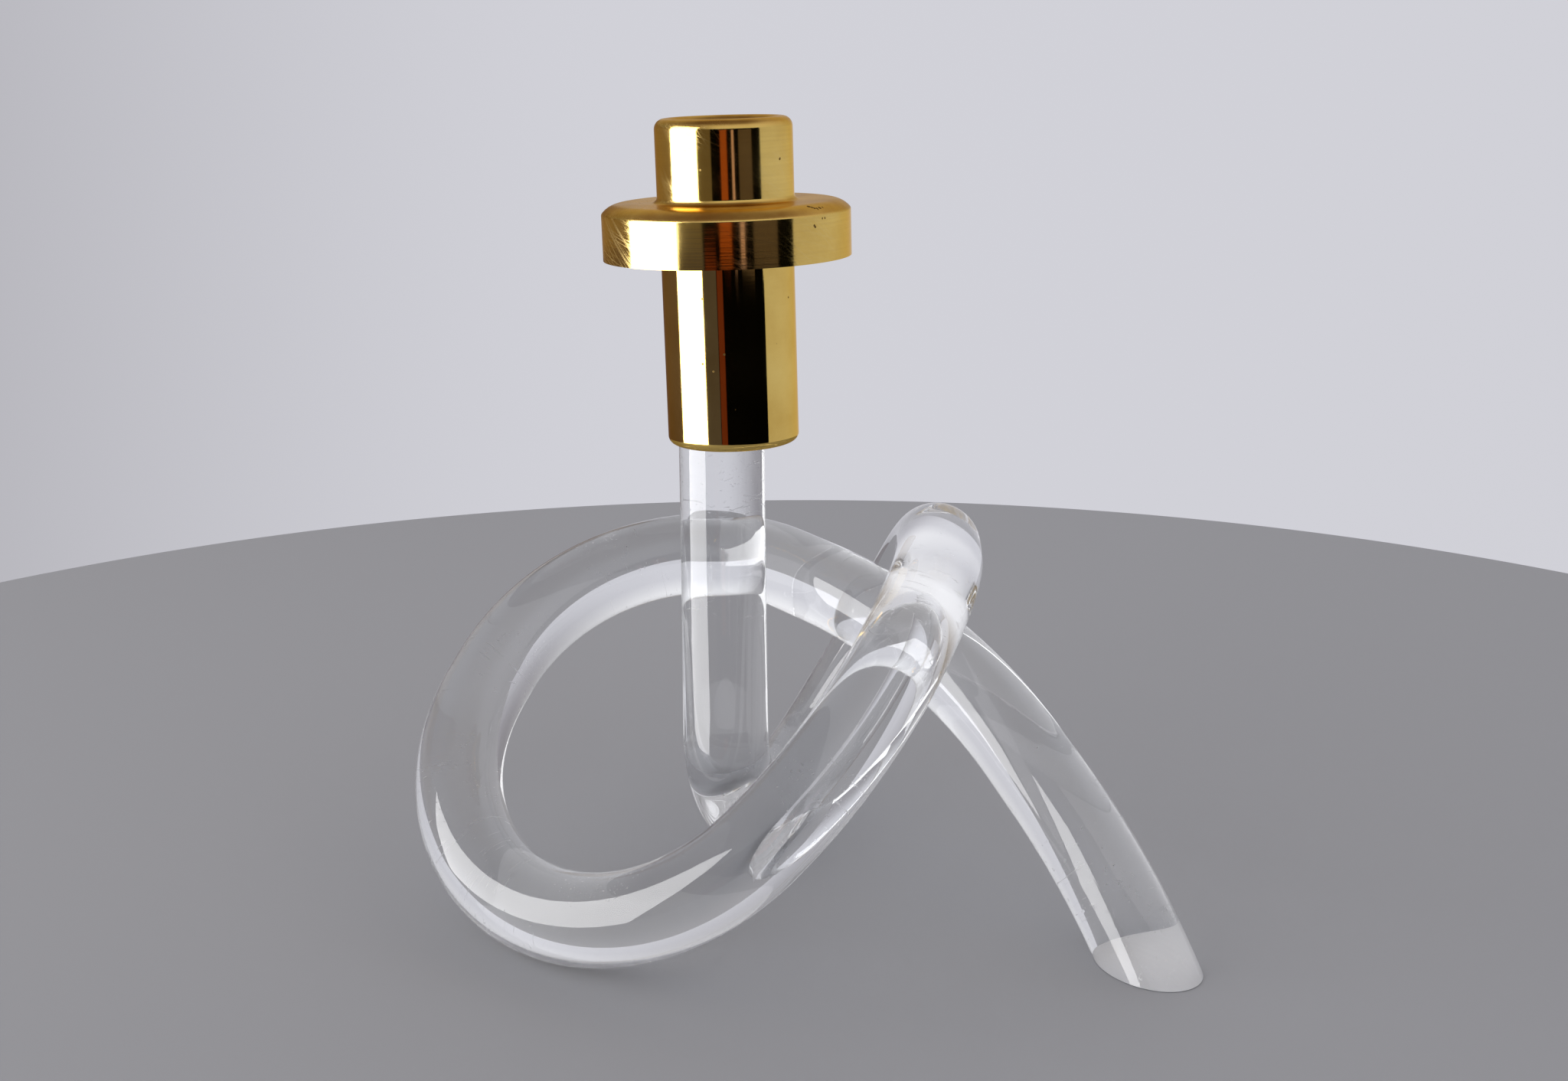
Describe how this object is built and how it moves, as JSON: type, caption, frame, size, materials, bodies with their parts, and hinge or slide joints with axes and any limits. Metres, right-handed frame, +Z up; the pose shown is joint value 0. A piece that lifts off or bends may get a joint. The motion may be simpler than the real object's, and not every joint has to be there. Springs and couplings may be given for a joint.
{
  "type": "candle holder",
  "caption": "Candle holder: a clear round rod bent into an open knot that stands by itself, with a brass candle cup and a wide drip flange on its upright end.",
  "frame": {"origin": "on the table, in the middle of the plan outline; the object stands on z = 0", "axes": "+X to the right as pictured, -Y the front, +Z up"},
  "size_m": [0.2203, 0.1532, 0.222],
  "materials": {
    "clear_acrylic": "polished",
    "polished_brass": "polished"
  },
  "bodies": {
    "holder": {"acrylic_rod": "clear_acrylic", "brass_sleeve": "polished_brass", "candle_socket": "polished_brass"},
    "cap": {"drip_cap": "polished_brass"}
  },
  "joints": [
    {"name": "cap_lift", "type": "slide", "parent": "holder", "child": "cap", "axis": [-0.0227, 0, 0.9997], "range_m": [0, 0.045]}
  ]
}
